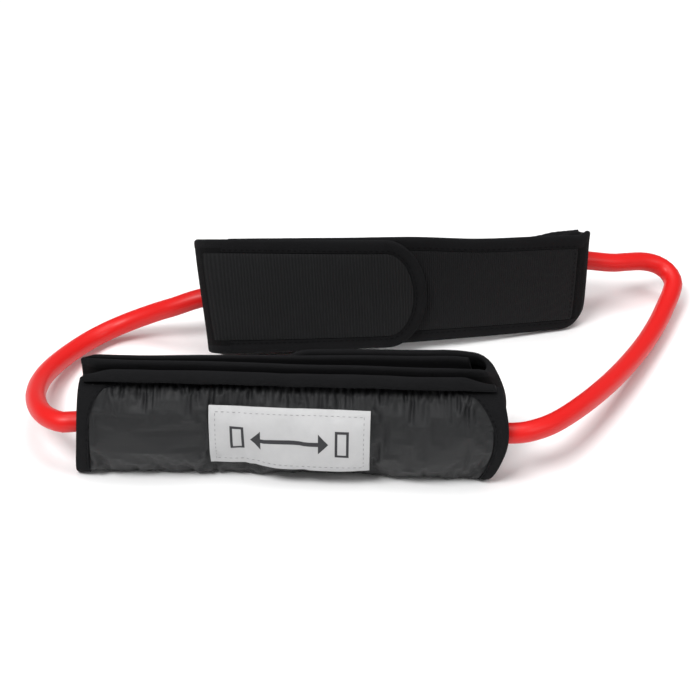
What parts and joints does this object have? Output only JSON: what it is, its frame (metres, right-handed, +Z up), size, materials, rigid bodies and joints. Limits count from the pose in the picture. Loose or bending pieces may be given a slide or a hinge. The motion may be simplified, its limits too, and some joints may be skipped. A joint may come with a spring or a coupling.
{
  "type": "resistance band",
  "caption": "Closed loop of red elastic tube through two padded black ankle cuffs, each with a hook-and-loop tab, for side-step exercises.",
  "frame": {"origin": "on the floor, at the centre of the two cuffs' box (the free tube left out)", "axes": "+X along the cuffs, +Y from the front cuff to the rear cuff, +Z up"},
  "size_m": [0.3522, 0.1781, 0.0719],
  "materials": {
    "knit": "matte black brushed knit",
    "nylon": "satin black woven nylon",
    "ribbed_loop": "matte black ribbed loop pile",
    "hook_tape": "black hook tape",
    "foam": "grey foam padding",
    "label": "white woven label",
    "latex": "smooth red latex tube, soft gloss",
    "joiner": "natural nylon plug"
  },
  "bodies": {
    "tube_front": {"tube_front_left": "latex", "tube_front_right": "latex", "tube_joiner": "joiner"},
    "tube_rear": {"tube_rear": "latex"},
    "front_cuff": {"front_strap": "knit", "front_top_binding": "knit", "front_bottom_binding": "knit", "front_loop_patch": "ribbed_loop", "front_tab_patch": "ribbed_loop", "front_sleeve_shell": "nylon", "front_sleeve_foam": "foam", "front_sleeve_piping": "knit", "front_left_mouth_binding": "knit", "front_right_mouth_binding": "knit", "front_label": "label"},
    "front_tab": {"front_tab_end": "knit", "front_tab_end_patch": "ribbed_loop", "front_hook_patch": "hook_tape", "front_tab_end_binding": "knit"},
    "rear_cuff": {"rear_strap": "knit", "rear_top_binding": "knit", "rear_bottom_binding": "knit", "rear_loop_patch": "ribbed_loop", "rear_tab_patch": "ribbed_loop", "rear_sleeve_shell": "nylon", "rear_sleeve_foam": "foam", "rear_sleeve_piping": "knit", "rear_left_mouth_binding": "knit", "rear_right_mouth_binding": "knit", "rear_label": "label"},
    "rear_tab": {"rear_tab_end": "knit", "rear_tab_end_patch": "ribbed_loop", "rear_hook_patch": "hook_tape", "rear_tab_end_binding": "knit"}
  },
  "joints": [
    {"name": "front_cuff_roll", "type": "hinge", "parent": "tube_front", "child": "front_cuff", "pos_m": [-0.0274, -0.0716, 0.02819], "axis": [0.999, -0.0436, 0], "range_deg": [-8, 40]},
    {"name": "stretch", "type": "slide", "parent": "tube_front", "child": "tube_rear", "axis": [0, 1, 0], "range_m": [0, 0.15], "stiffness_N_per_m": 190, "deforming": ["tube_rear"]},
    {"name": "rear_cuff_roll", "type": "hinge", "parent": "tube_rear", "child": "rear_cuff", "pos_m": [0.0255, 0.0569, 0.03005], "axis": [-0.9876, -0.1564, -0.0137], "range_deg": [-8, 40]},
    {"name": "front_tab_peel", "type": "hinge", "parent": "front_cuff", "child": "front_tab", "pos_m": [0.01995, -0.04173, 0.03017], "axis": [0.0064, 0.1477, -0.989], "range_deg": [0, 45]},
    {"name": "rear_tab_peel", "type": "hinge", "parent": "rear_cuff", "child": "rear_tab", "pos_m": [-0.01532, 0.02055, 0.04244], "axis": [0.0541, -0.3418, -0.9382], "range_deg": [0, 45]}
  ]
}
